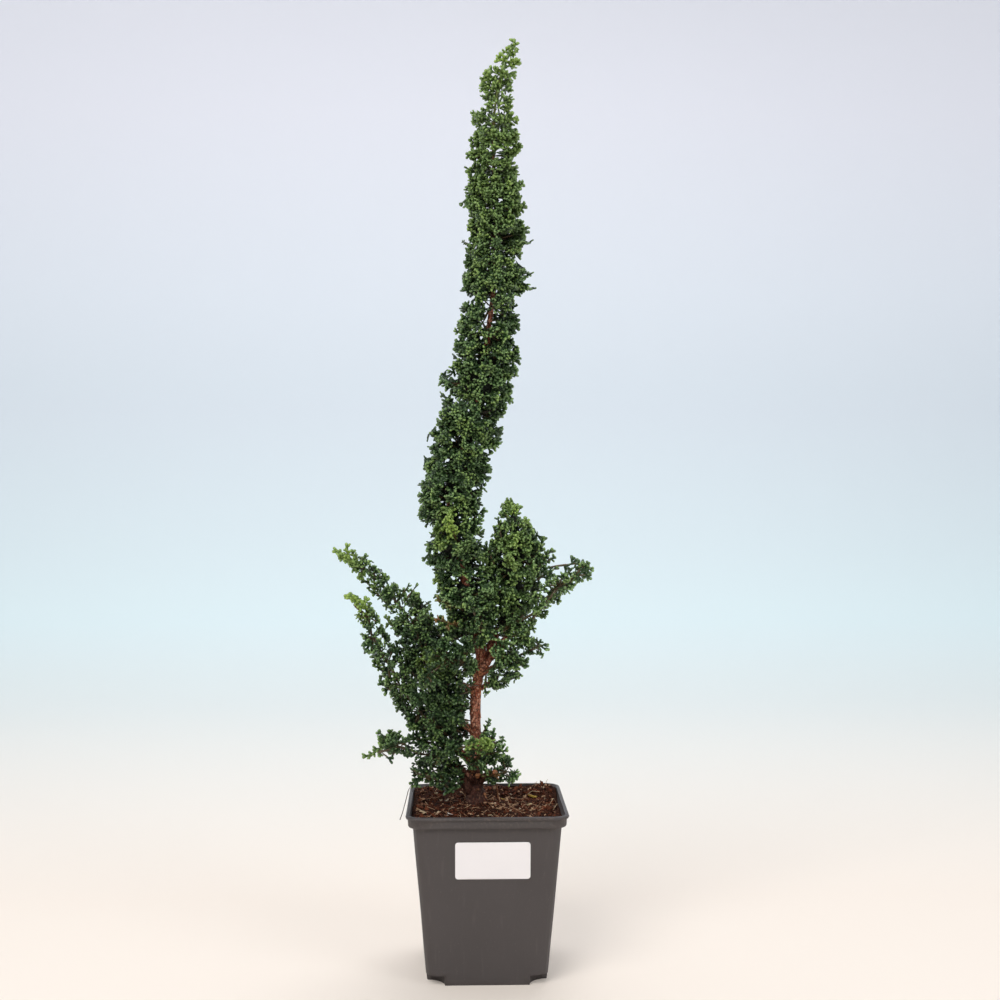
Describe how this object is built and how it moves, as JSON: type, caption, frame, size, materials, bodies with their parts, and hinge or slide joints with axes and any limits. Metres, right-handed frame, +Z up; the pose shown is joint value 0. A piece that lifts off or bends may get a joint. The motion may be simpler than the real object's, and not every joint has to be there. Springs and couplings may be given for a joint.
{
  "type": "potted cypress",
  "caption": "Young, narrow upright hinoki cypress with fan-shaped leafy shoots, standing in soil in a square tapered plastic nursery pot.",
  "frame": {"origin": "centre of the pot's square foot on the plane that it stands on", "axes": "+Z up along the pot's centre line; -Y out of the pot wall with the label; +X to the right seen from that side"},
  "size_m": [0.1889, 0.1136, 0.6808],
  "materials": {
    "pot_plastic": "satin injection-moulded dark grey",
    "potting_soil": "damp bark chips and peat, rough",
    "label_paper": "coated white sticker",
    "cypress_bark": "reddish-brown flaking bark",
    "cypress_leaf": "waxy green scale leaves"
  },
  "bodies": {
    "root": {"pot": "pot_plastic", "soil": "potting_soil", "label": "label_paper", "trunk": "cypress_bark", "column_shoot_01": "cypress_leaf", "column_shoot_02": "cypress_leaf", "column_shoot_03": "cypress_leaf", "column_shoot_04": "cypress_leaf", "column_shoot_05": "cypress_leaf", "column_shoot_06": "cypress_leaf", "column_shoot_07": "cypress_leaf", "column_shoot_08": "cypress_leaf", "column_shoot_09": "cypress_leaf", "column_shoot_10": "cypress_leaf", "column_shoot_11": "cypress_leaf", "leader_shoot": "cypress_leaf", "left_upper_shoot": "cypress_leaf", "left_lower_shoot": "cypress_leaf", "left_middle_shoot": "cypress_leaf", "left_inner_shoot": "cypress_leaf", "right_crown_shoot": "cypress_leaf", "right_shoot": "cypress_leaf", "right_low_shoot": "cypress_leaf", "right_hanging_shoot": "cypress_leaf", "front_upper_shoot": "cypress_leaf", "front_shoot": "cypress_leaf", "back_shoot": "cypress_leaf", "low_left_shoot": "cypress_leaf", "low_left_end_shoot": "cypress_leaf", "low_right_shoot": "cypress_leaf", "low_right_end_shoot": "cypress_leaf", "low_front_shoot": "cypress_leaf", "low_back_shoot": "cypress_leaf"}
  },
  "joints": []
}
